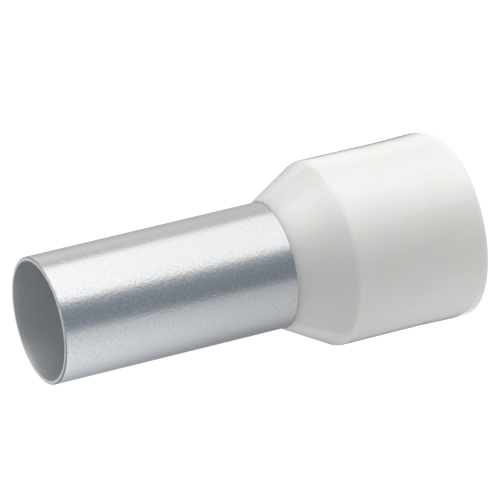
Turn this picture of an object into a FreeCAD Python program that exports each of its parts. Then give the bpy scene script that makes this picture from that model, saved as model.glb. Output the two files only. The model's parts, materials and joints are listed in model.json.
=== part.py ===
import FreeCAD, Part
import math
import os
import Sketcher
from FreeCAD import Vector

# Insulated wire ferrule for a 16 mm2 conductor, standing on the open rim of its collar.
# The copper tube points up along +Z and the origin is the centre of the collar's rear rim.
# Two pieces: a drawn, tin-plated copper tube with a trumpet flare at its rear end, and a
# moulded plastic collar whose funnel holds that flare and whose bore takes the insulation.

# Driving dimensions in millimetres, and one angle in degrees.
SIZES = (
    ("conductor_bore", 5.8, "inside diameter of the copper tube"),
    ("tube_wall", 0.2, "wall of the copper tube, the same through the flare"),
    ("tube_reach", 12.15, "bare tube in front of the collar"),
    ("tip_round", 0.07, "outer edge of the cut tip"),
    ("tip_bevel", 0.03, "inner edge of the cut tip"),
    ("flare_angle", 38.0, "slope of the flare against the axis"),
    ("bend_radius", 0.45, "outside of the bend from the tube into the flare"),
    ("flare_ledge", 0.25, "step from the flare's rim out to the collar's bore"),
    ("fit_clearance", 0.01, "between the tube and the collar all along their seat"),
    ("insulation_space", 1.25, "radial room for the wire's insulation outside the conductor"),
    ("collar_wall", 0.4, "wall of the collar at its waist"),
    ("shoulder_swell", 0.015, "how far the shoulder stands out over the waist"),
    ("rim_swell", 0.07, "how far the rear rim stands out over the waist"),
    ("body_length", 6.88, "collar from its rear rim to the shoulder"),
    ("waist_height", 2.6, "narrowest place of the collar above its rear rim"),
    ("cone_length", 2.6, "collar from the shoulder to its front lip"),
    ("lip_wall", 0.05, "thin front lip of the collar on the tube"),
    ("funnel_setback", 0.14, "start of the funnel below the shoulder"),
    ("shoulder_round", 0.5, "blend of the shoulder"),
    ("core_round", 0.25, "blend of the insulation bore into the funnel"),
    ("rim_round", 0.16, "outer edge of the rear rim"),
    ("lead_in", 0.1, "bevel inside the rear rim"),
)

# Radii and heights that more than one sketch uses, written for the expression engine.
TUBE_RADIUS = "(Sizes.conductor_bore / 2 + Sizes.tube_wall)"
BORE_RADIUS = "(Sizes.conductor_bore / 2 + Sizes.insulation_space)"
WAIST_RADIUS = f"({BORE_RADIUS} + Sizes.collar_wall)"
FRONT_HEIGHT = "(Sizes.body_length + Sizes.cone_length)"
TIP_HEIGHT = f"({FRONT_HEIGHT} + Sizes.tube_reach)"
HALF_FLARE = "(Sizes.flare_angle * 1 deg / 2)"
FUNNEL_FOOT = "(Sizes.body_length - Sizes.funnel_setback)"
# The funnel's slope, carried on, meets the tube's surface at the seat corner. The bend that
# blends the two starts higher than that by the tangent length of its radius.
SEAT_CORNER = (
    f"({FUNNEL_FOOT} + (Sizes.insulation_space - Sizes.tube_wall) / tan(Sizes.flare_angle * 1 deg))"
)
BEND_HEIGHT = f"({SEAT_CORNER} + Sizes.bend_radius * tan({HALF_FLARE}))"

# Numbers by which a sketch names the ends and centre of a line or arc, and its own origin.
START, END, CENTRE = 1, 2, 3
SKETCH_ORIGIN = -1
# The largest share of a wall that the rounding of one of its edges takes.
EDGE_SHARE = 0.4
# Two places nearer than this, in millimetres, are the same.
SAME_PLACE = 0.001


def make_sheet(document):
    """Write the driving dimensions to a spreadsheet with one alias for each."""
    sheet = document.addObject("Spreadsheet::Sheet", "Sizes")
    for row, (alias, value, meaning) in enumerate(SIZES, start=1):
        sheet.set(f"A{row}", meaning)
        sheet.set(f"B{row}", str(value))
        sheet.setAlias(f"B{row}", alias)
    document.recompute()
    return sheet


class Profile:
    """A half section in the XZ plane, with x as the radius and y as the height."""

    def __init__(self, body, name):
        plane = next(item for item in body.Origin.OriginFeatures if item.Role == "XZ_Plane")
        self.sketch = body.newObject("Sketcher::SketchObject", name)
        self.sketch.AttachmentSupport = (plane, [""])
        self.sketch.MapMode = "FlatFace"

    def line(self, start, end):
        """Add a line and return its number."""
        return self.sketch.addGeometry(Part.LineSegment(Vector(*start, 0), Vector(*end, 0)), False)

    def arc(self, centre, radius, from_degrees, to_degrees):
        """Add an arc that runs counter-clockwise and return its number."""
        circle = Part.Circle(Vector(*centre, 0), Vector(0, 0, 1), radius)
        ends = (math.radians(from_degrees), math.radians(to_degrees))
        return self.sketch.addGeometry(Part.ArcOfCircle(circle, *ends), False)

    def rule(self, kind, *places):
        """Add a constraint that carries no size."""
        self.sketch.addConstraint(Sketcher.Constraint(kind, *places))

    def join(self, *ends):
        """Make each pair of ends one corner."""
        for first, second in ends:
            self.rule("Coincident", *first, *second)

    def size(self, name, formula, kind, *places):
        """Add a named constraint that follows a formula of the spreadsheet."""
        value = self.start_value(kind, places)
        index = self.sketch.addConstraint(Sketcher.Constraint(kind, *places, value))
        self.sketch.renameConstraint(index, name)
        self.sketch.setExpression(f"Constraints.{name}", formula)

    def start_value(self, kind, places):
        """Read the drawn value, so that the solver starts where the outline was drawn."""
        if kind == "Radius":
            return self.sketch.Geometry[places[0]].Radius
        if kind == "Angle":
            lines = (self.sketch.Geometry[each] for each in (places[0], places[2]))
            first, second = (line.EndPoint - line.StartPoint for line in lines)
            return first.getAngle(second)
        point = self.sketch.getPoint(places[2], places[3])
        return point.x if kind == "DistanceX" else point.y

    def radius_of(self, name, formula, geometry, end):
        """Set how far an end lies from the axis."""
        self.size(name, formula, "DistanceX", SKETCH_ORIGIN, START, geometry, end)

    def height_of(self, name, formula, geometry, end):
        """Set how high an end lies above the rear rim."""
        self.size(name, formula, "DistanceY", SKETCH_ORIGIN, START, geometry, end)

    def finished(self):
        """Return the sketch once every part of it is held by its constraints."""
        freedom = self.sketch.solve()
        if freedom != 0 or self.sketch.FullyConstrained is False:
            raise RuntimeError(f"{self.sketch.Name} isn't fully constrained")
        self.sketch.Visibility = False
        return self.sketch


def turn(body, kind, name, profile):
    """Revolve a half section about the vertical axis, as a solid or as a cut."""
    feature = body.newObject(f"PartDesign::{kind}", name)
    feature.Profile = profile
    feature.ReferenceAxis = (profile, ["V_Axis"])
    feature.Angle = 360
    return feature


def ring_edges(shape, radius, height):
    """Name the round edges about the axis that have this radius and height."""
    names = []
    for index, edge in enumerate(shape.Edges, start=1):
        if not isinstance(edge.Curve, Part.Circle):
            continue
        centre = edge.Curve.Center
        off_axis = math.hypot(centre.x, centre.y)
        off_ring = math.hypot(edge.Curve.Radius - radius, centre.z - height)
        if off_axis < SAME_PLACE and off_ring < SAME_PLACE:
            names.append(f"Edge{index}")
    if not names:
        raise RuntimeError(f"no round edge of radius {radius:.3f} at height {height:.3f}")
    return names


def soften(body, kind, name, rings, amount):
    """Round or bevel the named rings of the body by a formula of the spreadsheet."""
    base = body.Tip
    feature = body.newObject(f"PartDesign::{kind}", name)
    names = [edge for radius, height in rings for edge in ring_edges(base.Shape, radius, height)]
    feature.Base = (base, names)
    feature.setExpression("Radius" if kind == "Fillet" else "Size", amount)
    body.Document.recompute()
    return feature


def number(sheet, formula):
    """Work out a formula of the spreadsheet as a plain number."""
    result = sheet.evalExpression(formula)
    return float(getattr(result, "Value", result))


def make_tube(document, sheet):
    """The copper tube: straight, cut square at its tip and flared like a trumpet at its rear."""
    body = document.addObject("PartDesign::Body", "Tube")
    body.Label = "copper_sleeve"

    outer, inner = number(sheet, TUBE_RADIUS), sheet.conductor_bore / 2
    tip, bend = number(sheet, TIP_HEIGHT), number(sheet, BEND_HEIGHT)
    slope = math.radians(sheet.flare_angle)
    across = Vector(math.cos(slope), math.sin(slope))
    centre = Vector(outer + sheet.bend_radius, bend)
    bend_end = centre - across * sheet.bend_radius
    bend_inner_end = bend_end - across * sheet.tube_wall
    run = (number(sheet, BORE_RADIUS) - sheet.flare_ledge - bend_end.x) / math.sin(slope)
    rim_outer = bend_end + Vector(math.sin(slope), -math.cos(slope)) * run
    rim_inner = rim_outer - across * sheet.tube_wall

    profile = Profile(body, "TubeSection")
    outside = profile.line((outer, bend), (outer, tip))
    cut = profile.line((outer, tip), (inner, tip))
    inside = profile.line((inner, tip), (inner, bend))
    inner_bend = profile.arc(
        (centre.x, centre.y), sheet.bend_radius + sheet.tube_wall, 180, 180 + sheet.flare_angle
    )
    inner_slope = profile.line((bend_inner_end.x, bend_inner_end.y), (rim_inner.x, rim_inner.y))
    rim = profile.line((rim_inner.x, rim_inner.y), (rim_outer.x, rim_outer.y))
    outer_slope = profile.line((rim_outer.x, rim_outer.y), (bend_end.x, bend_end.y))
    outer_bend = profile.arc((centre.x, centre.y), sheet.bend_radius, 180, 180 + sheet.flare_angle)

    profile.rule("Vertical", outside)
    profile.rule("Horizontal", cut)
    profile.rule("Vertical", inside)
    profile.join(((outside, END), (cut, START)), ((cut, END), (inside, START)))
    profile.join(((inner_slope, END), (rim, START)), ((rim, END), (outer_slope, START)))
    profile.rule("Tangent", inside, END, inner_bend, START)
    profile.rule("Tangent", inner_bend, END, inner_slope, START)
    profile.rule("Tangent", outer_slope, END, outer_bend, END)
    profile.rule("Tangent", outer_bend, START, outside, START)
    profile.join(((inner_bend, CENTRE), (outer_bend, CENTRE)))
    profile.rule("Parallel", inner_slope, outer_slope)
    profile.rule("Perpendicular", rim, outer_slope)
    profile.radius_of("outer_radius", TUBE_RADIUS, outside, END)
    profile.radius_of("inner_radius", "Sizes.conductor_bore / 2", inside, START)
    profile.height_of("tip_height", TIP_HEIGHT, cut, END)
    profile.size("bend_radius", "Sizes.bend_radius", "Radius", outer_bend)
    profile.height_of("bend_height", BEND_HEIGHT, outer_bend, CENTRE)
    profile.size(
        "flare_angle", "Sizes.flare_angle * 1 deg", "Angle", inside, START, inner_slope, START
    )
    profile.radius_of("rim_radius", f"{BORE_RADIUS} - Sizes.flare_ledge", rim, END)
    turn(body, "Revolution", "TubeWall", profile.finished())
    document.recompute()

    limit = f"Sizes.tube_wall * {EDGE_SHARE}"
    soften(body, "Fillet", "TipOuterEdge", [(outer, tip)], f"min(Sizes.tip_round; {limit})")
    soften(body, "Chamfer", "TipInnerEdge", [(inner, tip)], f"min(Sizes.tip_bevel; {limit})")
    return body


def collar_outside(body, sheet):
    """The collar's outside: rear rim, two drafts that meet at the waist, cone and thin lip."""
    waist = (number(sheet, WAIST_RADIUS), sheet.waist_height)
    shoulder = (waist[0] + sheet.shoulder_swell, sheet.body_length)
    rim = (waist[0] + sheet.rim_swell, 0)
    front = number(sheet, FRONT_HEIGHT)
    lip_formula = f"{TUBE_RADIUS} + Sizes.fit_clearance + Sizes.lip_wall"

    profile = Profile(body, "CollarSection")
    axis = profile.line((0, 0), (0, front))
    lip_face = profile.line((0, front), (number(sheet, lip_formula), front))
    cone = profile.line((number(sheet, lip_formula), front), shoulder)
    upper_draft = profile.line(shoulder, waist)
    lower_draft = profile.line(waist, rim)
    base = profile.line(rim, (0, 0))

    profile.rule("Vertical", axis)
    profile.rule("Horizontal", lip_face)
    profile.rule("Horizontal", base)
    profile.join(((axis, START), (SKETCH_ORIGIN, START)), ((axis, END), (lip_face, START)))
    profile.join(((lip_face, END), (cone, START)), ((cone, END), (upper_draft, START)))
    profile.join(((upper_draft, END), (lower_draft, START)), ((lower_draft, END), (base, START)))
    profile.join(((base, END), (axis, START)))
    profile.height_of("front_height", FRONT_HEIGHT, axis, END)
    profile.radius_of("lip_radius", lip_formula, lip_face, END)
    profile.radius_of("shoulder_radius", f"{WAIST_RADIUS} + Sizes.shoulder_swell", cone, END)
    profile.height_of("shoulder_height", "Sizes.body_length", cone, END)
    profile.radius_of("waist_radius", WAIST_RADIUS, upper_draft, END)
    profile.height_of("waist_height", "Sizes.waist_height", upper_draft, END)
    profile.radius_of("rim_radius", f"{WAIST_RADIUS} + Sizes.rim_swell", base, START)
    turn(body, "Revolution", "CollarBlank", profile.finished())
    return shoulder, rim


def collar_core(body, sheet):
    """The hollow that the moulding core leaves: insulation bore, funnel and grip on the tube.

    The funnel and the grip follow the tube's outside at the fit clearance.
    """
    clearance = sheet.fit_clearance
    grip = number(sheet, TUBE_RADIUS) + clearance
    bore = number(sheet, BORE_RADIUS)
    front, bend = number(sheet, FRONT_HEIGHT), number(sheet, BEND_HEIGHT)
    slope = math.radians(sheet.flare_angle)
    seat_round = sheet.bend_radius - clearance
    centre = Vector(grip + seat_round, bend)
    seat_top = centre - Vector(math.cos(slope), math.sin(slope)) * seat_round
    foot = seat_top.y - (bore - seat_top.x) / math.tan(slope)

    profile = Profile(body, "CoreSection")
    axis = profile.line((0, 0), (0, front))
    front_face = profile.line((0, front), (grip, front))
    grip_wall = profile.line((grip, front), (grip, bend))
    seat_bend = profile.arc((centre.x, centre.y), seat_round, 180, 180 + sheet.flare_angle)
    funnel = profile.line((seat_top.x, seat_top.y), (bore, foot))
    bore_wall = profile.line((bore, foot), (bore, 0))
    base = profile.line((bore, 0), (0, 0))

    profile.rule("Vertical", axis)
    profile.rule("Horizontal", front_face)
    profile.rule("Vertical", grip_wall)
    profile.rule("Vertical", bore_wall)
    profile.rule("Horizontal", base)
    profile.join(((axis, START), (SKETCH_ORIGIN, START)), ((axis, END), (front_face, START)))
    profile.join(((front_face, END), (grip_wall, START)), ((funnel, END), (bore_wall, START)))
    profile.join(((bore_wall, END), (base, START)), ((base, END), (axis, START)))
    profile.rule("Tangent", grip_wall, END, seat_bend, START)
    profile.rule("Tangent", seat_bend, END, funnel, START)
    profile.height_of("front_height", FRONT_HEIGHT, axis, END)
    profile.radius_of("grip_radius", f"{TUBE_RADIUS} + Sizes.fit_clearance", grip_wall, START)
    profile.size("seat_round", "Sizes.bend_radius - Sizes.fit_clearance", "Radius", seat_bend)
    profile.height_of("bend_height", BEND_HEIGHT, seat_bend, CENTRE)
    profile.size("funnel_angle", "Sizes.flare_angle * 1 deg", "Angle", grip_wall, START, funnel, START)
    profile.radius_of("bore_radius", BORE_RADIUS, bore_wall, START)
    turn(body, "Groove", "Core", profile.finished())
    return bore, foot


def make_collar(document, sheet):
    """The plastic collar: one moulding with an insulation bore, a funnel and a grip."""
    body = document.addObject("PartDesign::Body", "Collar")
    body.Label = "plastic_collar"
    shoulder, rim = collar_outside(body, sheet)
    document.recompute()
    blank_volume = body.Shape.Volume
    bore, funnel_foot = collar_core(body, sheet)
    document.recompute()
    if body.Shape.Volume > 0.5 * blank_volume:
        raise RuntimeError("the core cut too little out of the collar")

    soften(body, "Fillet", "ShoulderBlend", [shoulder], "Sizes.shoulder_round")
    soften(body, "Fillet", "CoreBlend", [(bore, funnel_foot)], "Sizes.core_round")
    wall_limit = f"Sizes.collar_wall * {EDGE_SHARE}"
    rim_formula = f"min(Sizes.rim_round; Sizes.rim_swell + {wall_limit})"
    soften(body, "Fillet", "RimEdge", [rim], rim_formula)
    soften(body, "Chamfer", "MouthLeadIn", [(bore, 0)], f"min(Sizes.lead_in; {wall_limit})")
    return body


def check(document, parts):
    """Stop where a feature failed or a sub-part isn't one sound solid."""
    for item in document.Objects:
        if "Invalid" in item.State or "Error" in item.State:
            raise RuntimeError(f"{item.Name} failed: {item.State}")
    for part in parts:
        shape = part.Shape
        if shape.isNull() or not shape.isValid() or len(shape.Solids) != 1:
            raise RuntimeError(f"{part.Label} isn't one sound solid")


def main():
    """Build both pieces and write each to its own file."""
    document = FreeCAD.newDocument("WireFerrule")
    sheet = make_sheet(document)
    parts = (make_tube(document, sheet), make_collar(document, sheet))
    for part in parts:
        part.Placement = FreeCAD.Placement(Vector(0, 0, 0), FreeCAD.Rotation())
    document.recompute()
    check(document, parts)
    os.makedirs("parts", exist_ok=True)
    for part in parts:
        part.Shape.exportStep(f"parts/{part.Label}.step")
        box = part.Shape.BoundBox
        print(f"{part.Label}: {part.Shape.Volume:.3f} mm3, {box.XLength:.3f} x {box.YLength:.3f} mm,")
        print(f"  z {box.ZMin:.3f} to {box.ZMax:.3f} mm")


main()
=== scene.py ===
"""Looks of an insulated wire end ferrule: a tin-plated copper sleeve in an ivory plastic collar.

The ferrule stands on the open rim of its collar, and its sleeve points up along +Z. Every length is
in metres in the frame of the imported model, and angles are in degrees. Azimuths are measured round
the sleeve's axis, from -Y, where the camera stands, towards +X, which is up in the picture.
"""

import json
import logging
import math
from collections.abc import Callable, Iterable
from dataclasses import dataclass, field
from enum import Enum
from typing import ClassVar

import bmesh
import bpy
from mathutils import Matrix, Vector

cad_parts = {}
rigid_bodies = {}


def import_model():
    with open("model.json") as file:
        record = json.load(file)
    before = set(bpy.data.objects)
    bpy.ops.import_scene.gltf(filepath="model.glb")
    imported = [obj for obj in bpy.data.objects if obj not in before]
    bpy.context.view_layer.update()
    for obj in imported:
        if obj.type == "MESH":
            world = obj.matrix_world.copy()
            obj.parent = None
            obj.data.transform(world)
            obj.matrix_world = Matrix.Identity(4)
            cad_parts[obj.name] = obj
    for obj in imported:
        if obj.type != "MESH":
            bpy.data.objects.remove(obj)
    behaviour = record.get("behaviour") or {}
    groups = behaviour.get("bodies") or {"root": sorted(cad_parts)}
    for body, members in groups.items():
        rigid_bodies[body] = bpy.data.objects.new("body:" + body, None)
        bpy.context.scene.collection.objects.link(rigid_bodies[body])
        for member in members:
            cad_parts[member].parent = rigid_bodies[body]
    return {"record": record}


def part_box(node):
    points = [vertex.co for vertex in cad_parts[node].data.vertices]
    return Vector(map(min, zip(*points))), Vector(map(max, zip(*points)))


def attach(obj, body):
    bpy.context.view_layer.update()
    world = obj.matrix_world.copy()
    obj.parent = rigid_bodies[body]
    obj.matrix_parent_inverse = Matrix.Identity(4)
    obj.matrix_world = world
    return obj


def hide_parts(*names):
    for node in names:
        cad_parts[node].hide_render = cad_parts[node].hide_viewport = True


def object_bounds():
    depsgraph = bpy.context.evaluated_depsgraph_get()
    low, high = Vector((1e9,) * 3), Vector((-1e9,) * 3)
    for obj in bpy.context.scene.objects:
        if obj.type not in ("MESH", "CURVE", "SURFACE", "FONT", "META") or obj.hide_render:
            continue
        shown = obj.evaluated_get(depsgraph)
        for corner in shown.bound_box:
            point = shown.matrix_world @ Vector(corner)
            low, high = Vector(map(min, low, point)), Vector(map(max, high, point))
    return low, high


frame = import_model()
cad_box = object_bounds()

logging.basicConfig(level=logging.INFO, format="%(message)s")
log = logging.getLogger("wire_ferrule")

MM = 0.001
MAX_BOUNCES = 24
GLOSSY_BOUNCES = 16
Color = tuple[float, float, float]
Corner = tuple[float, float]


def clear_selection() -> None:
    """Deselect every object, so that an operator acts only on what is added next."""
    for thing in bpy.data.objects:
        thing.select_set(False)


def mount(name: str) -> dict:
    """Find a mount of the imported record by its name."""
    return next(each for each in frame["record"]["mounts"] if each["name"] == name)


def start_ring(name: str, corner: Corner, segments: int) -> bpy.types.Object:
    """Add a circle round the sleeve's axis and open it for editing, with all of it selected.

    Args:
        name: the new piece's name.
        corner: the ring's radius and height.
        segments: how many edges the ring has.

    Returns:
        The new object, in edit mode.
    """
    clear_selection()
    radius, height = corner
    bpy.ops.mesh.primitive_circle_add(
        vertices=segments, radius=radius, fill_type="NOTHING", location=(0, 0, height)
    )
    piece = bpy.context.object
    piece.name = piece.data.name = name
    bpy.ops.object.transform_apply(location=True, rotation=True, scale=True)
    bpy.ops.object.mode_set(mode="EDIT")
    bpy.ops.mesh.select_mode(type="EDGE")
    bpy.ops.mesh.select_all(action="SELECT")
    return piece


def extrude_rings(corners: Iterable[Corner]) -> None:
    """Extrude the selected ring from corner to corner, scaling it to each radius.

    Args:
        corners: radius and height of the ring that is selected, and then of each one after it.
    """
    stations = list(corners)
    for (radius, height), (next_radius, next_height) in zip(stations, stations[1:]):
        bpy.ops.mesh.extrude_edges_move(
            TRANSFORM_OT_translate={"value": (0, 0, next_height - height)}
        )
        share = next_radius / radius
        bpy.ops.transform.resize(value=(share, share, 1), center_override=(0, 0, 0))


def select_edges(piece: bpy.types.Object, wanted: Callable[[Vector, Vector], bool]) -> int:
    """Select the edges of a piece in edit mode whose two ends pass a test.

    Args:
        piece: the object in edit mode.
        wanted: takes the two ends of an edge and says whether it is selected.

    Returns:
        The number of edges selected.
    """
    bpy.ops.mesh.select_all(action="DESELECT")
    mesh = bmesh.from_edit_mesh(piece.data)
    chosen = [edge for edge in mesh.edges if wanted(edge.verts[0].co, edge.verts[1].co)]
    for edge in chosen:
        edge.select_set(True)
    bmesh.update_edit_mesh(piece.data)
    return len(chosen)


def on_ring(corner: Corner, reach: float = 0.01 * MM) -> Callable[[Vector, Vector], bool]:
    """Make a test for the edges that lie on a ring.

    Args:
        corner: the ring's radius and height.
        reach: how far off the ring an end may lie.

    Returns:
        A function that takes the two ends of an edge.
    """
    radius, height = corner

    def wanted(first: Vector, second: Vector) -> bool:
        """Say whether both ends lie on the ring."""
        return all(
            math.hypot(math.hypot(end.x, end.y) - radius, end.z - height) < reach
            for end in (first, second)
        )

    return wanted


def round_ring(piece: bpy.types.Object, corner: Corner, width: float, steps: int) -> None:
    """Round the edge that runs round the piece at a corner of its section.

    Args:
        piece: the object in edit mode.
        corner: radius and height of the edge.
        width: distance from the sharp edge to where the rounding starts.
        steps: how many faces the rounding has.
    """
    if select_edges(piece, on_ring(corner)) == 0:
        radius, height = corner
        raise ValueError(f"{piece.name} has no edge at radius {radius:.6f}, height {height:.6f}")
    bpy.ops.mesh.bevel(
        offset_type="OFFSET", offset=width, segments=steps, profile=0.5, affect="EDGES"
    )


def between(start: Corner, end: Corner, steps: int) -> list[Corner]:
    """Divide a straight run of the section evenly.

    Args:
        start: radius and height where the run starts.
        end: radius and height where it ends.
        steps: how many stretches it gets.

    Returns:
        The corners after the start, the end among them.
    """
    shares = (step / steps for step in range(1, steps + 1))
    return [tuple(a + (b - a) * share for a, b in zip(start, end)) for share in shares]


def leave_edit_mode(piece: bpy.types.Object) -> None:
    """Close the edit and leave the piece alone selected and active."""
    bpy.ops.object.mode_set(mode="OBJECT")
    clear_selection()
    piece.select_set(True)
    bpy.context.view_layer.objects.active = piece


def apply_modifiers(piece: bpy.types.Object) -> None:
    """Apply every modifier of a piece in its order."""
    for modifier in list(piece.modifiers):
        bpy.ops.object.modifier_apply(modifier=modifier.name)


class Nodes:
    """A material's node tree, with short calls to add nodes and wire them."""

    def __init__(self, tree: bpy.types.NodeTree) -> None:
        """Start from an empty tree.

        Args:
            tree: the node tree of a material or of the world.
        """
        self.tree = tree
        tree.nodes.clear()

    def add(self, kind: str, **settings: object) -> bpy.types.Node:
        """Add a node.

        Args:
            kind: the node's type, without its ShaderNode prefix.
            settings: attributes of the node.

        Returns:
            The new node.
        """
        node = self.tree.nodes.new(f"ShaderNode{kind}")
        for name, value in settings.items():
            setattr(node, name, value)
        return node

    def wire(self, source: bpy.types.NodeSocket, target: bpy.types.NodeSocket) -> None:
        """Join an output to an input."""
        self.tree.links.new(source, target)

    def millimetres(self) -> bpy.types.NodeSocket:
        """Give the place on the piece in millimetres, so that a texture's scale is per millimetre.

        Returns:
            The coordinates.
        """
        place = self.add("TexCoord")
        scaling = self.add("Mapping")
        scaling.inputs["Scale"].default_value = (1 / MM, 1 / MM, 1 / MM)
        self.wire(place.outputs["Object"], scaling.inputs["Vector"])
        return scaling.outputs["Vector"]

    def math(self, operation: str, *values: bpy.types.NodeSocket | float) -> bpy.types.NodeSocket:
        """Add a sum, product or other function of one or two values.

        Args:
            operation: the function's name.
            values: an output or a plain number for each input.

        Returns:
            The result.
        """
        node = self.add("Math", operation=operation)
        for value, socket in zip(values, node.inputs):
            if isinstance(value, (int, float)):
                socket.default_value = value
            else:
                self.wire(value, socket)
        return node.outputs[0]

    def noise(
        self, place: bpy.types.NodeSocket, size: float, detail: float = 2.0
    ) -> bpy.types.NodeSocket:
        """Add a noise whose cells have a given size.

        Args:
            place: the coordinates in millimetres.
            size: the cells' size in millimetres.
            detail: how many finer layers are added.

        Returns:
            The noise, from 0 to 1.
        """
        noise = self.add("TexNoise")
        noise.inputs["Scale"].default_value = 1 / size
        noise.inputs["Detail"].default_value = detail
        self.wire(place, noise.inputs["Vector"])
        return noise.outputs["Fac"]

    def spread(
        self,
        value: bpy.types.NodeSocket,
        low: float,
        high: float,
        start: float = 0.3,
        end: float = 0.7,
    ) -> bpy.types.NodeSocket:
        """Spread a value over a new range. Past its start and end, the result stays level.

        Args:
            value: the value, a noise unless start and end are given.
            low: the result where the value is at its start.
            high: the result where the value is at its end.
            start: lower end of the value's own range.
            end: upper end of the value's own range.

        Returns:
            The spread value.
        """
        ranging = self.add("MapRange")
        limits = {"From Min": start, "From Max": end, "To Min": low, "To Max": high}
        for name, limit in limits.items():
            ranging.inputs[name].default_value = limit
        self.wire(value, ranging.inputs["Value"])
        return ranging.outputs["Result"]

    def blend(
        self, share: bpy.types.NodeSocket, first: Color, second: Color
    ) -> bpy.types.NodeSocket:
        """Blend two colours.

        Args:
            share: 0 gives the first colour, 1 the second.
            first: a linear colour.
            second: a linear colour.

        Returns:
            The blended colour.
        """
        mix = self.add("Mix", data_type="RGBA")
        for socket, color in zip((mix.inputs[6], mix.inputs[7]), (first, second)):
            socket.default_value = (*color, 1)
        self.wire(share, mix.inputs["Factor"])
        return mix.outputs[2]

    def bump(
        self, height: bpy.types.NodeSocket, depth: float, under: bpy.types.NodeSocket | None = None
    ) -> bpy.types.NodeSocket:
        """Turn a height into relief.

        Args:
            height: the height, from 0 to 1.
            depth: what a height of 1 stands for, in metres.
            under: the relief below this one.

        Returns:
            The bent normal.
        """
        bump = self.add("Bump")
        bump.inputs["Strength"].default_value = 1.0
        bump.inputs["Distance"].default_value = depth
        self.wire(height, bump.inputs["Height"])
        if under is not None:
            self.wire(under, bump.inputs["Normal"])
        return bump.outputs["Normal"]


def new_material(name: str) -> tuple[bpy.types.Material, Nodes]:
    """Make a material with an empty node tree.

    Args:
        name: the material's name.

    Returns:
        The material and its nodes.
    """
    material = bpy.data.materials.new(name)
    material.use_nodes = True
    return material, Nodes(material.node_tree)


@dataclass(frozen=True)
class TinPlate:
    """Tin plating on drawn copper, glossy or matt, with a fine satin grain.

    The grain and ripple sizes are in millimetres, and their depths in metres.
    """

    name: str
    pale: Color
    dark: Color
    smooth: float
    rough: float
    grain_size: float
    grain_depth: float
    grain_detail: float = 3.0
    ripple_size: float = 0.9
    ripple_depth: float = 1.5e-6
    metallic: float = 1.0

    def material(self) -> bpy.types.Material:
        """Build the finish: its colour, roughness and relief all follow the grain.

        Returns:
            The material.
        """
        material, nodes = new_material(self.name)
        place = nodes.millimetres()
        grain = nodes.noise(place, self.grain_size, self.grain_detail)
        ripple = nodes.noise(place, self.ripple_size)
        shader = nodes.add("BsdfPrincipled")
        shader.inputs["Metallic"].default_value = self.metallic
        color = nodes.blend(nodes.spread(grain, 0, 1), self.dark, self.pale)
        nodes.wire(color, shader.inputs["Base Color"])
        nodes.wire(nodes.spread(grain, self.rough, self.smooth), shader.inputs["Roughness"])
        relief = nodes.bump(grain, self.grain_depth, nodes.bump(ripple, self.ripple_depth))
        nodes.wire(relief, shader.inputs["Normal"])
        nodes.wire(shader.outputs["BSDF"], nodes.add("OutputMaterial").inputs["Surface"])
        return material


@dataclass(frozen=True)
class IvoryPlastic:
    """Smooth moulded plastic, ivory, satin and slightly translucent.

    The cloud and skin sizes are in millimetres, the skin's depth and the glow's reach in metres.
    """

    name: str = "ivory_plastic"
    pale: Color = (0.890, 0.883, 0.861)
    dark: Color = (0.870, 0.862, 0.836)
    cloud_size: float = 1.6
    skin_size: float = 0.16
    skin_depth: float = 0.35e-6
    smooth: float = 0.05
    rough: float = 0.08
    glow: float = 0.35
    glow_reach: Color = (0.0005, 0.0005, 0.0004)

    def material(self) -> bpy.types.Material:
        """Build the finish: faint clouds in its colour, and the skin in its gloss and relief.

        Returns:
            The material.
        """
        material, nodes = new_material(self.name)
        place = nodes.millimetres()
        cloud = nodes.noise(place, self.cloud_size)
        skin = nodes.noise(place, self.skin_size)
        shader = nodes.add("BsdfPrincipled")
        shader.inputs["Subsurface Weight"].default_value = self.glow
        shader.inputs["Subsurface Radius"].default_value = self.glow_reach
        shader.inputs["Subsurface Scale"].default_value = 1.0
        color = nodes.blend(nodes.spread(cloud, 0, 1), self.dark, self.pale)
        nodes.wire(color, shader.inputs["Base Color"])
        nodes.wire(nodes.spread(skin, self.rough, self.smooth), shader.inputs["Roughness"])
        nodes.wire(nodes.bump(skin, self.skin_depth), shader.inputs["Normal"])
        nodes.wire(shader.outputs["BSDF"], nodes.add("OutputMaterial").inputs["Surface"])
        return material


class SleeveFace(Enum):
    """The faces of the sleeve that differ in finish, each with its material's index."""

    OUTSIDE = 0
    INSIDE = 1
    CUT = 2
    EDGE = 3


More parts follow.
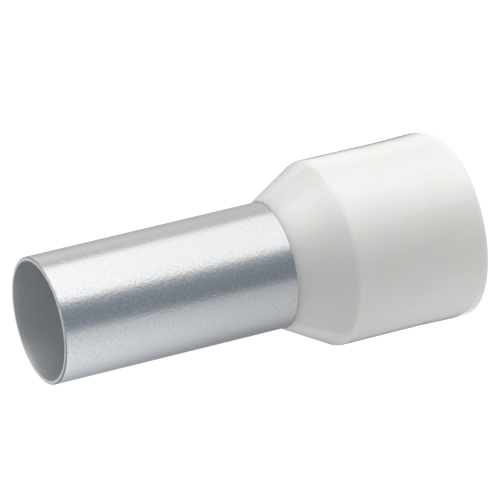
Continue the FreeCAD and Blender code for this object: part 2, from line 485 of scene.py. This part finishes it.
@dataclass
class CopperSleeve:
    """The drawn, tin-plated copper tube, cut square at its tip and flared in the collar.

    At the tip, a face counts as part of the cut where its normal rises by more than facing_up.
    """

    node: ClassVar[str] = "copper_sleeve"
    slot: ClassVar[str] = "tinned_copper"
    facing_up: ClassVar[float] = 0.5

    radius: float = field(default_factory=lambda: mount("sleeve_outside")["dims"]["r_mm"] * MM)
    bore_radius: float = field(default_factory=lambda: mount("conductor_bore")["dims"]["r_mm"] * MM)
    flare_angle: float = 38.0
    bend_radius: float = 0.45 * MM
    tip_round: float = 0.07 * MM
    tip_bevel: float = 0.03 * MM
    segments: int = 256
    wall_steps: int = 36
    bend_steps: int = 8
    flare_steps: int = 2
    tip_round_steps: int = 4
    tip_bevel_steps: int = 2
    smooth_angle: float = 35.0
    bright: TinPlate = TinPlate(
        "tin_plate",
        pale=(0.852, 0.858, 0.868),
        dark=(0.822, 0.828, 0.839),
        smooth=0.06,
        rough=0.36,
        grain_size=0.12,
        grain_depth=7e-6,
    )
    # The inside's rougher, less shiny plating is its own. Its bluer, slightly paler colour than the
    # outside's is painted light: the blue-grey light inside the tube.
    dull_and_painted_light: TinPlate = TinPlate(
        "tin_plate_inside",
        pale=(0.855, 0.872, 0.888),
        dark=(0.820, 0.838, 0.852),
        smooth=0.50,
        rough=0.58,
        grain_size=0.2,
        grain_depth=1e-6,
        metallic=0.94,
    )
    cut: TinPlate = TinPlate(
        "tin_plate_cut",
        pale=(0.74, 0.755, 0.77),
        dark=(0.64, 0.655, 0.67),
        smooth=0.38,
        rough=0.50,
        grain_size=0.1,
        grain_depth=2e-6,
    )
    # The rounded outer edge of the cut gets a darker, rougher finish than the outside.
    dark_edge: TinPlate = TinPlate(
        "tin_plate_edge",
        pale=(0.80, 0.815, 0.83),
        dark=(0.68, 0.695, 0.71),
        smooth=0.46,
        rough=0.60,
        grain_size=0.1,
        grain_depth=2e-6,
    )

    @property
    def wall(self) -> float:
        """The wall's thickness."""
        return self.radius - self.bore_radius

    def outline(self) -> list[Corner]:
        """Work out the outside of the tube from its tip to the flare's rim.

        Returns:
            Radius and height of each ring, from the top down.
        """
        low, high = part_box(self.node)
        slope = math.radians(self.flare_angle)
        rim = (high.x, low.z + self.wall * math.sin(slope))
        bend_end = self.radius + self.bend_radius * (1 - math.cos(slope))
        run = (rim[0] - bend_end) / math.sin(slope)
        bend_height = rim[1] + run * math.cos(slope) + self.bend_radius * math.sin(slope)
        corners = [(self.radius, high.z)]
        corners += between(corners[0], (self.radius, bend_height), self.wall_steps)
        for step in range(1, self.bend_steps + 1):
            turned = slope * step / self.bend_steps
            corners.append(
                (
                    self.radius + self.bend_radius * (1 - math.cos(turned)),
                    bend_height - self.bend_radius * math.sin(turned),
                )
            )
        return corners + between(corners[-1], rim, self.flare_steps)

    def mesh(self) -> bpy.types.Object:
        """Extrude the tube ring by ring, give it its wall and round its cut edge.

        Returns:
            The sleeve's object, without its finishes.
        """
        corners = self.outline()
        piece = start_ring("tinned_sleeve", corners[0], self.segments)
        extrude_rings(corners)
        bpy.ops.mesh.select_all(action="SELECT")
        bpy.ops.mesh.normals_make_consistent(inside=False)
        leave_edit_mode(piece)
        shell = piece.modifiers.new("wall", "SOLIDIFY")
        shell.thickness, shell.offset, shell.use_even_offset = self.wall, -1, True
        apply_modifiers(piece)
        tip = corners[0][1]
        bpy.ops.object.mode_set(mode="EDIT")
        round_ring(piece, (self.radius, tip), self.tip_round, self.tip_round_steps)
        round_ring(piece, (self.bore_radius, tip), self.tip_bevel, self.tip_bevel_steps)
        leave_edit_mode(piece)
        bpy.ops.object.shade_smooth_by_angle(angle=math.radians(self.smooth_angle))
        return piece

    def dress(self, piece: bpy.types.Object) -> None:
        """Give the outside, the inside, the cut and its rounded outer edge their finishes.

        Args:
            piece: the sleeve's object.
        """
        # The finishes stand in the order of SleeveFace.
        for finish in (self.bright, self.dull_and_painted_light, self.cut, self.dark_edge):
            piece.data.materials.append(finish.material())
        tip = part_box(self.node)[1].z
        for face in piece.data.polygons:
            outward = face.normal.xy.dot(face.center.xy.normalized())
            from_axis = face.center.xy.length
            at_tip = face.center.z > tip - self.tip_round
            if at_tip and from_axis > self.radius - self.tip_round:
                face.material_index = SleeveFace.EDGE.value
            elif at_tip and face.normal.z > self.facing_up:
                face.material_index = SleeveFace.CUT.value
            elif outward < 0 or from_axis < self.bore_radius:
                face.material_index = SleeveFace.INSIDE.value
            else:
                face.material_index = SleeveFace.OUTSIDE.value

    def build(self) -> bpy.types.Object:
        """Model the sleeve, dress it and let it stand for its node.

        Returns:
            The sleeve's object.
        """
        piece = self.mesh()
        self.dress(piece)
        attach(piece, "root")
        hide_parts(self.node)
        log.info("%s: %d faces", piece.name, len(piece.data.polygons))
        return piece


@dataclass(frozen=True)
class CollarSteps:
    """How many faces each straight run and each rounding of the collar's section has."""

    cone: int = 10
    flank: int = 8
    rear_face: int = 2
    bore: int = 8
    funnel: int = 4
    grip: int = 4
    lip_round: int = 2
    shoulder_round: int = 8
    core_round: int = 6
    rim_round: int = 8
    lead_in: int = 1


@dataclass
class PlasticCollar:
    """The ivory collar.

    Outside it has a rounded rim, a waisted flank, a shoulder, a cone and a thin lip on the sleeve,
    and inside a bore for the insulation, a funnel and a grip round the sleeve.
    """

    node: ClassVar[str] = "plastic_collar"
    slot: ClassVar[str] = "ivory_plastic"

    sleeve: CopperSleeve
    bore_radius: float = field(
        default_factory=lambda: mount("insulation_bore")["dims"]["r_mm"] * MM
    )
    clearance: float = 0.01 * MM
    lip_wall: float = 0.015 * MM
    cone_length: float = 2.6 * MM
    waist_height: float = 2.6 * MM
    rim_swell: float = 0.07 * MM
    shoulder_swell: float = 0.015 * MM
    shoulder_round: float = 0.5 * MM
    lip_round: float = 0.012 * MM
    funnel_setback: float = 0.14 * MM
    core_round: float = 0.25 * MM
    rim_round: float = 0.16 * MM
    lead_in: float = 0.1 * MM
    segments: int = 256
    steps: CollarSteps = CollarSteps()
    smooth_angle: float = 30.0
    finish: IvoryPlastic = IvoryPlastic()

    def mesh(self) -> bpy.types.Object:
        """Extrude the section's outline all the way round its wall and round its corners.

        Returns:
            The collar's object, without its finish.
        """
        low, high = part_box(self.node)
        top, wide = high.z, high.x
        rim = (wide, 0.0)
        waist = (wide - self.rim_swell, self.waist_height)
        shoulder = (waist[0] + self.shoulder_swell, top - self.cone_length)
        grip = self.sleeve.radius + self.clearance
        lip = (grip + self.lip_wall, top)
        slope = math.radians(self.sleeve.flare_angle)
        foot = (self.bore_radius, shoulder[1] - self.funnel_setback)
        seat = (grip, foot[1] + (self.bore_radius - grip) / math.tan(slope))
        mouth = (self.bore_radius, 0.0)
        front = (grip, top)

        steps = self.steps
        corners = [lip]
        for start, end, count in (
            (lip, shoulder, steps.cone),
            (shoulder, waist, steps.flank),
            (waist, rim, steps.flank),
            (rim, mouth, steps.rear_face),
            (mouth, foot, steps.bore),
            (foot, seat, steps.funnel),
            (seat, front, steps.grip),
        ):
            corners += between(start, end, count)
        piece = start_ring("ivory_collar", lip, self.segments)
        extrude_rings(corners)
        ends = (on_ring(lip), on_ring(front))
        select_edges(piece, lambda first, second: any(test(first, second) for test in ends))
        bpy.ops.mesh.bridge_edge_loops()
        bpy.ops.mesh.select_all(action="SELECT")
        bpy.ops.mesh.normals_make_consistent(inside=False)

        cone_turn = math.atan2(shoulder[0] - lip[0], self.cone_length)
        shoulder_width = self.shoulder_round * math.tan(cone_turn / 2)
        core_width = self.core_round * math.tan(slope / 2)
        round_ring(piece, lip, self.lip_round, steps.lip_round)
        round_ring(piece, shoulder, shoulder_width, steps.shoulder_round)
        round_ring(piece, foot, core_width, steps.core_round)
        round_ring(piece, rim, self.rim_round, steps.rim_round)
        round_ring(piece, mouth, self.lead_in, steps.lead_in)
        leave_edit_mode(piece)
        bpy.ops.object.shade_smooth_by_angle(angle=math.radians(self.smooth_angle))
        return piece

    def build(self) -> bpy.types.Object:
        """Model the collar, dress it and let it stand for its node.

        Returns:
            The collar's object.
        """
        piece = self.mesh()
        piece.data.materials.append(self.finish.material())
        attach(piece, "root")
        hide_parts(self.node)
        log.info("%s: %d faces", piece.name, len(piece.data.polygons))
        return piece


@dataclass(frozen=True)
class PhotoCamera:
    """The picture's camera: a long lens that looks down into the sleeve's open mouth.

    The lens and the sensor's width are in the millimetres of a camera. The mouth's place is given
    in the camera's view: to the right of its middle, below it and ahead of the lens.
    """

    lens: float = 454.7
    sensor: float = 36.0
    axis_tilt: float = 67.40
    roll: float = 103.56
    mouth_right: float = -9.978 * MM
    mouth_down: float = 3.353 * MM
    mouth_ahead: float = 297.99 * MM
    clip_start: float = 0.01
    clip_end: float = 10.0

    def place(self, mouth: Vector) -> bpy.types.Object:
        """Set up the camera from where the sleeve's mouth lies in its view.

        Args:
            mouth: the centre of the sleeve's cut end.

        Returns:
            The camera object.
        """
        tilt, roll = math.radians(self.axis_tilt), math.radians(self.roll)
        ahead = Vector((0, math.sin(tilt), -math.cos(tilt)))
        level_right = Vector((1, 0, 0))
        level_up = level_right.cross(ahead)
        right = level_right * math.cos(roll) - level_up * math.sin(roll)
        up = right.cross(ahead)
        data = bpy.data.cameras.new("photo_camera")
        data.lens, data.sensor_width = self.lens, self.sensor
        data.clip_start, data.clip_end = self.clip_start, self.clip_end
        camera = bpy.data.objects.new("photo_camera", data)
        bpy.context.scene.collection.objects.link(camera)
        turn = Matrix((right, up, -ahead)).transposed()
        camera.rotation_mode = "QUATERNION"
        camera.rotation_quaternion = turn.to_quaternion()
        camera.location = (
            mouth - right * self.mouth_right + up * self.mouth_down - ahead * self.mouth_ahead
        )
        bpy.context.scene.camera = camera
        return camera


@dataclass(frozen=True)
class SoftLamp:
    """A square soft box that faces the ferrule."""

    name: str
    azimuth: float
    height: float
    strength: float
    color: Color = (1.0, 1.0, 1.0)
    distance: float = 0.25
    size: float = 0.12

    def hang(self, target: Vector) -> bpy.types.Object:
        """Hang the lamp, with more power the farther it hangs, so that its light doesn't fade.

        Args:
            target: the point that it faces.

        Returns:
            The lamp object.
        """
        azimuth, height = math.radians(self.azimuth), math.radians(self.height)
        away = Vector(
            (
                math.sin(azimuth) * math.cos(height),
                -math.cos(azimuth) * math.cos(height),
                math.sin(height),
            )
        )
        data = bpy.data.lights.new(self.name, "AREA")
        data.size = self.size
        data.energy = self.strength * math.pi**2 * self.distance**2
        data.color = self.color
        lamp = bpy.data.objects.new(self.name, data)
        bpy.context.scene.collection.objects.link(lamp)
        lamp.location = target + away * self.distance
        lamp.rotation_mode = "QUATERNION"
        lamp.rotation_quaternion = away.to_track_quat("Z", "Y")
        lamp.visible_glossy = False
        return lamp


@dataclass(frozen=True)
class CardTone:
    """One tone of a reflector card at one azimuth: away from the ferrule, and close to it."""

    azimuth: float
    far: Color
    near: Color | None = None


@dataclass(frozen=True)
class ReflectorCard:
    """White, grey and black card on a ring round the ferrule, which only gloss sees.

    Between two tones the card runs evenly from one to the other, round the axis and away from it.
    The azimuths run from -180 to 180. Up to near_end from the origin the card has its near tones,
    and past far_start its far ones. With a mirror_radius, which is that of the round piece beside
    it, the tones fan out with their distance, so that the piece mirrors each of them in one line
    along its axis. The azimuths are then those of the mirrored rays.
    """

    name: str
    foot: Corner
    brim: Corner
    tones: tuple[CardTone, ...]
    mirror_radius: float = 0.0
    near_end: float = 26 * MM
    far_start: float = 50 * MM
    segments: int = 96

    def build(self) -> bpy.types.Object:
        """Model the ring from its foot to its brim and give it its tones.

        Returns:
            The card's object.
        """
        card = start_ring(self.name, self.foot, self.segments)
        extrude_rings([self.foot, self.brim])
        leave_edit_mode(card)
        card.data.materials.append(self.material())
        for ray in ("camera", "diffuse", "shadow", "transmission", "volume_scatter"):
            setattr(card, f"visible_{ray}", False)
        return card

    def ramp(
        self, nodes: Nodes, share: bpy.types.NodeSocket, colors: Iterable[Color]
    ) -> bpy.types.NodeSocket:
        """Add a ramp of the tones round the axis.

        Args:
            nodes: the card's nodes.
            share: the azimuth, as a share of the whole turn.
            colors: the colour of each tone.

        Returns:
            The colour.
        """
        ramp = nodes.add("ValToRGB")
        stops = ramp.color_ramp.elements
        stops.remove(stops[-1])
        for number, (tone, color) in enumerate(zip(self.tones, colors)):
            position = (tone.azimuth + 180) / 360
            stop = stops[0] if number == 0 else stops.new(position)
            stop.position = position
            stop.color = (*color, 1)
        nodes.wire(share, ramp.inputs["Fac"])
        return ramp.outputs["Color"]

    def material(self) -> bpy.types.Material:
        """Build the card's light: one ramp close to the ferrule, and one away from it.

        Returns:
            The material.
        """
        material, nodes = new_material(self.name)
        place = nodes.add("TexCoord").outputs["Object"]
        split = nodes.add("SeparateXYZ")
        nodes.wire(place, split.inputs["Vector"])
        distance = nodes.add("VectorMath", operation="LENGTH")
        nodes.wire(place, distance.inputs[0])
        radius = distance.outputs["Value"]
        ahead = nodes.math("MULTIPLY", split.outputs["Y"], -1.0)
        azimuth = nodes.math("ARCTAN2", split.outputs["X"], ahead)
        width = nodes.math("MULTIPLY", radius, 2.0)
        fan = nodes.math("DIVIDE", width, nodes.math("SUBTRACT", width, self.mirror_radius))
        share = nodes.spread(nodes.math("MULTIPLY", azimuth, fan), 0, 1, -math.pi, math.pi)
        near = self.ramp(nodes, share, (tone.near or tone.far for tone in self.tones))
        far = self.ramp(nodes, share, (tone.far for tone in self.tones))
        mix = nodes.add("Mix", data_type="RGBA")
        # Close to the ferrule the near ramp takes over; on the bowl its darker tones are painted
        # shade of the ferrule.
        away = nodes.spread(radius, 0, 1, self.near_end, self.far_start)
        nodes.wire(away, mix.inputs["Factor"])
        nodes.wire(near, mix.inputs[6])
        nodes.wire(far, mix.inputs[7])
        light = nodes.add("Emission")
        nodes.wire(mix.outputs[2], light.inputs["Color"])
        nodes.wire(light.outputs["Emission"], nodes.add("OutputMaterial").inputs["Surface"])
        return material


def gray(value: float, blue: float = 0.0) -> Color:
    """Give a linear grey, made bluer by a share of itself."""
    return (value * (1 - blue), value, value * (1 + blue))


# The rings on which the reflector cards meet: the plate and the bowl, and the bowl and the wall.
PLATE_EDGE: Corner = (16.9 * MM, 1.33 * MM)
BOWL_EDGE: Corner = (150 * MM, 15 * MM)


@dataclass
class Studio:
    """Floor, sky, lamps and reflector cards of a plain white product picture.

    The cards make one bowl round the ferrule: a plate at its foot, the bowl's slope, and a wall.
    floor_glow is the floor's white to the lens and in gloss, and table_light what it sheds on the
    ferrule. floor_shadow_share is how much of the floor's real light and shadow the lens sees.
    """

    floor_size: float = 6.0
    floor_color: Color = (0.6, 0.6, 0.6)
    floor_glow: float = 1.3
    table_light: float = 0.368
    floor_shadow_share: float = 0.3
    sky_light: float = 0.1
    sky_gloss: float = 0.7
    sky_white: float = 1.0
    lamps: tuple[SoftLamp, ...] = (
        SoftLamp("key_lamp", azimuth=75, height=3, strength=0.81, color=(0.99, 1.0, 1.02)),
        SoftLamp("front_lamp", azimuth=30, height=3, strength=0.375),
        SoftLamp("edge_lamp", azimuth=-100, height=12, strength=0.464, color=(0.99, 1.0, 1.02)),
    )
    cards: tuple[ReflectorCard, ...] = (
        ReflectorCard(
            "reflector_wall",
            foot=BOWL_EDGE,
            brim=(150 * MM, 300 * MM),
            tones=(
                CardTone(-180, gray(0.9)),
                CardTone(-168, gray(0.9)),
                CardTone(-160, gray(0.1)),
                CardTone(-100, gray(0.1)),
                CardTone(-40, gray(0.5)),
                CardTone(10, gray(0.05)),
                CardTone(24, gray(0.05)),
                CardTone(45, gray(1.05)),
                CardTone(65, gray(1.55)),
                CardTone(80, gray(1.45)),
                CardTone(90, gray(1.1)),
                CardTone(97, gray(0.05)),
                CardTone(150, gray(0.1)),
                CardTone(160, gray(0.9)),
            ),
        ),
        ReflectorCard(
            "reflector_plate",
            foot=(5.0 * MM, 0.1 * MM),
            brim=PLATE_EDGE,
            near_end=6.0 * MM,
            far_start=17.0 * MM,
            mirror_radius=4.56 * MM,
            tones=(
                CardTone(-180, gray(0.05)),
                CardTone(-120, gray(0.1), near=gray(0.7)),
                CardTone(-20, gray(0.1), near=gray(0.65)),
                CardTone(8, gray(0.05)),
                CardTone(18.5, gray(0.05)),
                CardTone(21.5, gray(0.2), near=gray(1.0)),
                CardTone(42, gray(0.75), near=gray(1.35)),
                CardTone(58, gray(1.5)),
                CardTone(76, gray(0.95)),
                CardTone(98, gray(0.15)),
                CardTone(105, gray(0.05)),
                CardTone(112, gray(0.05)),
                CardTone(130, gray(0.7)),
                CardTone(155, gray(1.0), near=gray(0.75)),
                CardTone(179, gray(0.05)),
            ),
        ),
        # Close to the ferrule most of the bowl's near tones are darker than its far ones. That is
        # painted shade of the ferrule on the card near its foot, since the glowing card takes no
        # real shadow.
        ReflectorCard(
            "reflector_bowl",
            foot=PLATE_EDGE,
            brim=BOWL_EDGE,
            tones=(
                CardTone(-180, gray(0.4, 0.05)),
                CardTone(-148, gray(0.45, 0.05), near=gray(0.25, 0.05)),
                CardTone(-125, gray(0.65, 0.05), near=gray(0.35, 0.05)),
                CardTone(-105, gray(0.8, 0.02), near=gray(0.5, 0.02)),
                CardTone(-85, gray(0.85, 0.02), near=gray(0.55, 0.02)),
                CardTone(-65, gray(0.8, 0.02), near=gray(0.55, 0.02)),
                CardTone(-37, gray(0.65, 0.02), near=gray(0.45, 0.02)),
                CardTone(-30, gray(0.4, 0.1), near=gray(0.25, 0.1)),
                CardTone(-22, gray(0.25, 0.15), near=gray(0.2, 0.15)),
                CardTone(2, gray(0.25, 0.15)),
                CardTone(16, gray(0.4, 0.05)),
                CardTone(21, gray(0.8)),
                CardTone(26, gray(1.1), near=gray(1.0)),
                CardTone(92, gray(1.1), near=gray(1.0)),
                CardTone(99, gray(0.5), near=gray(0.55)),
                CardTone(125, gray(0.75), near=gray(0.6)),
                CardTone(150, gray(0.5)),
                CardTone(180, gray(0.4, 0.05)),
            ),
        ),
    )

    def build(self) -> None:
        """Set up everything round the ferrule."""
        self.lay_floor()
        self.light_sky()
        low, high = cad_box
        for lamp in self.lamps:
            lamp.hang((low + high) / 2)
        for card in self.cards:
            card.build()

    def lay_floor(self) -> None:
        """Lay a floor that is pure white to the lens and in gloss, and keeps the shadow."""
        clear_selection()
        bpy.ops.mesh.primitive_plane_add(size=self.floor_size, location=(0, 0, 0))
        floor = bpy.context.object
        floor.name = "floor"
        material, nodes = new_material("white_floor")
        ray = nodes.add("LightPath")
        glossy, clear = ray.outputs["Is Glossy Ray"], ray.outputs["Is Transmission Ray"]
        mirrored = nodes.math("MAXIMUM", glossy, clear)
        sees = nodes.math("MAXIMUM", ray.outputs["Is Camera Ray"], mirrored)
        share = nodes.math("MULTIPLY", sees, 1 - self.floor_shadow_share)
        matt = nodes.add("BsdfDiffuse")
        matt.inputs["Color"].default_value = (*self.floor_color, 1)
        table = nodes.add("Emission")
        table.inputs["Strength"].default_value = self.table_light
        lit = nodes.add("AddShader")
        nodes.wire(matt.outputs["BSDF"], lit.inputs[0])
        nodes.wire(table.outputs["Emission"], lit.inputs[1])
        glow = nodes.add("Emission")
        glow.inputs["Strength"].default_value = self.floor_glow
        mix = nodes.add("MixShader")
        nodes.wire(share, mix.inputs["Fac"])
        nodes.wire(lit.outputs["Shader"], mix.inputs[1])
        nodes.wire(glow.outputs["Emission"], mix.inputs[2])
        nodes.wire(mix.outputs["Shader"], nodes.add("OutputMaterial").inputs["Surface"])
        floor.data.materials.append(material)

    def light_sky(self) -> None:
        """Light the sky: white to the lens, pale in gloss and softer on matt surfaces."""
        world = bpy.data.worlds.new("studio_sky")
        world.use_nodes = True
        bpy.context.scene.world = world
        nodes = Nodes(world.node_tree)
        ray = nodes.add("LightPath")
        shades = []
        for strength in (self.sky_light, self.sky_gloss, self.sky_white):
            shade = nodes.add("Background")
            shade.inputs["Color"].default_value = (1, 1, 1, 1)
            shade.inputs["Strength"].default_value = strength
            shades.append(shade.outputs["Background"])
        matt, gloss, white = shades
        clear = ray.outputs["Is Transmission Ray"]
        sees = nodes.math("MAXIMUM", ray.outputs["Is Camera Ray"], clear)
        glossy = nodes.add("MixShader")
        nodes.wire(ray.outputs["Is Glossy Ray"], glossy.inputs["Fac"])
        nodes.wire(matt, glossy.inputs[1])
        nodes.wire(gloss, glossy.inputs[2])
        seen = nodes.add("MixShader")
        nodes.wire(sees, seen.inputs["Fac"])
        nodes.wire(glossy.outputs["Shader"], seen.inputs[1])
        nodes.wire(white, seen.inputs[2])
        nodes.wire(seen.outputs["Shader"], nodes.add("OutputWorld").inputs["Surface"])


def main() -> None:
    """Build the ferrule and its studio, one class after the other."""
    bpy.context.scene.view_settings.view_transform = "Standard"
    bpy.context.scene.cycles.max_bounces = MAX_BOUNCES
    bpy.context.scene.cycles.glossy_bounces = GLOSSY_BOUNCES
    sleeve = CopperSleeve()
    sleeve.build()
    PlasticCollar(sleeve).build()
    Studio().build()
    PhotoCamera().place(Vector((0, 0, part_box(CopperSleeve.node)[1].z)))


if __name__ == "__main__":
    main()
